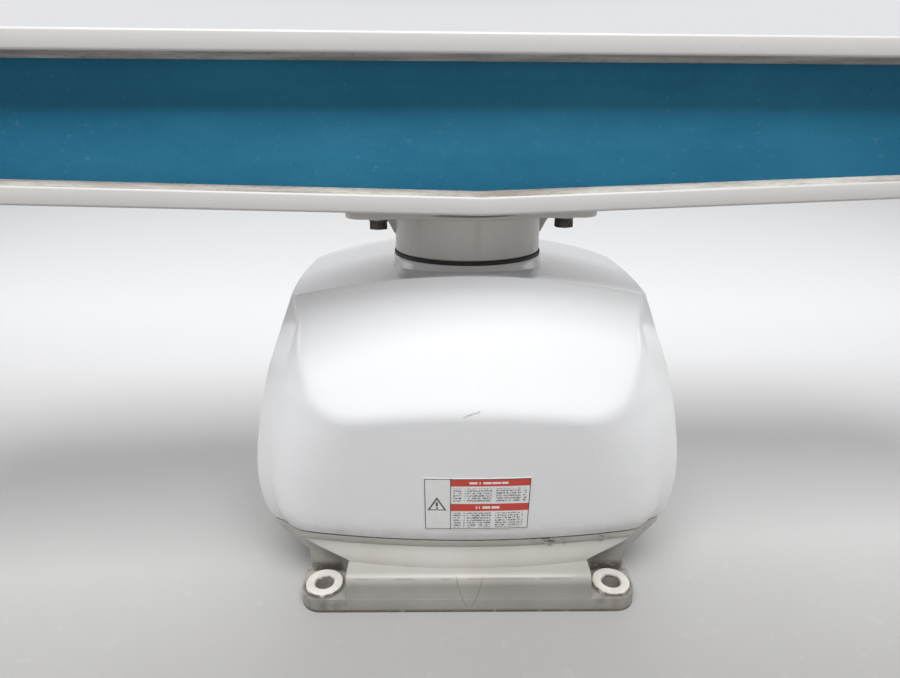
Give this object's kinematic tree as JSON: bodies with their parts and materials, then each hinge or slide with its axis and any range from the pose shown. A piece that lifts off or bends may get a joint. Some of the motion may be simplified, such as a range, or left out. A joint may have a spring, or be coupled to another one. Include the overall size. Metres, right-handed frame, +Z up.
{
  "type": "marine radar scanner",
  "caption": "Marine open-array radar scanner: a long radiator bar turning on a neck above a moulded cover and a cast foot with corner bolt pockets.",
  "frame": {"origin": "where the turning axis of the array meets the underside of the foot", "axes": "+Z up along the turning axis, +X along the array to the right seen from the front, -Y to the front"},
  "size_m": [1.2631, 0.3322, 0.428],
  "materials": {
    "gelcoat_white": "glossy, weathered",
    "casting_cream": "painted cream, satin",
    "bracket_grey": "painted warm grey, satin",
    "panel_blue": "matte, streaked",
    "rubber_black": "matte",
    "washer_white": "matte",
    "label_white": "satin sticker",
    "steel_dark": "weathered",
    "steel_bright": "plain",
    "steel_bearing": "ground",
    "gear_steel": "oiled",
    "alloy_plain": "machined",
    "brass_plain": "plain",
    "nylon_black": "matte",
    "motor_black": "satin",
    "board_green": "coated board",
    "block_cream": "moulded"
  },
  "bodies": {
    "pedestal": {"base_casting": "casting_cream", "seal_washers": "washer_white", "cover_gasket": "rubber_black", "top_cover": "gelcoat_white", "neck_seal": "rubber_black", "cover_bolts": "steel_bright", "cover_bolt_washers": "steel_bright", "warning_label": "label_white", "gland_body": "nylon_black", "gland_seal": "rubber_black", "gland_nut": "nylon_black", "earth_screw": "brass_plain", "earth_washers": "brass_plain", "support_pillars": "alloy_plain", "gear_plate": "alloy_plain", "pillar_screws": "steel_bright", "bearing_tube": "alloy_plain", "tube_screws": "steel_bright", "bearing_outer_races": "steel_bearing", "bearing_balls": "steel_bearing", "retaining_ring": "steel_dark", "motor_body": "motor_black", "motor_screws": "steel_bright", "encoder_body": "nylon_black", "rotary_joint_base": "brass_plain", "waveguide_bend": "brass_plain", "circulator": "alloy_plain", "magnetron": "alloy_plain", "magnetron_magnets": "motor_black", "receiver_module": "alloy_plain", "transceiver_tray": "alloy_plain", "modulator_board": "board_green", "power_board": "board_green", "terminal_block": "block_cream", "board_standoffs": "steel_bright"},
    "array": {"drive_shaft": "steel_bright", "shaft_screws": "steel_bright", "bearing_inner_races": "steel_bearing", "main_gear": "gear_steel", "gear_key": "steel_bright", "shaft_nut": "steel_dark", "rotary_joint_probe": "brass_plain", "rotor_bracket": "bracket_grey", "bracket_bolts": "steel_dark", "bracket_spring_washers": "steel_dark", "bracket_washers": "steel_bright", "waveguide_seal": "rubber_black", "radiator_shell": "gelcoat_white", "radiator_face": "panel_blue", "end_cap_left": "gelcoat_white", "end_cap_right": "gelcoat_white", "end_cap_screws": "steel_bright", "slotted_waveguide": "brass_plain", "horn_flares": "alloy_plain", "guide_clips": "nylon_black", "waveguide_feed": "brass_plain"},
    "pinion": {"motor_shaft": "steel_bright", "motor_pinion": "gear_steel"},
    "encoder": {"encoder_shaft": "steel_bright", "encoder_gear": "nylon_black"}
  },
  "joints": [
    {"name": "array_spin", "type": "hinge", "parent": "pedestal", "child": "array", "pos_m": [0, 0, 0.2], "axis": [0, 0, 1], "continuous": true},
    {"name": "pinion_spin", "type": "hinge", "parent": "pedestal", "child": "pinion", "pos_m": [0, 0.096, 0.15], "axis": [0, 0, 1], "continuous": true},
    {"name": "encoder_spin", "type": "hinge", "parent": "pedestal", "child": "encoder", "pos_m": [-0.1, 0, 0.15], "axis": [0, 0, 1], "continuous": true}
  ],
  "couplings": [
    {"joint": "pinion_spin", "follows": "array_spin", "ratio": -5},
    {"joint": "encoder_spin", "follows": "array_spin", "ratio": -4}
  ]
}
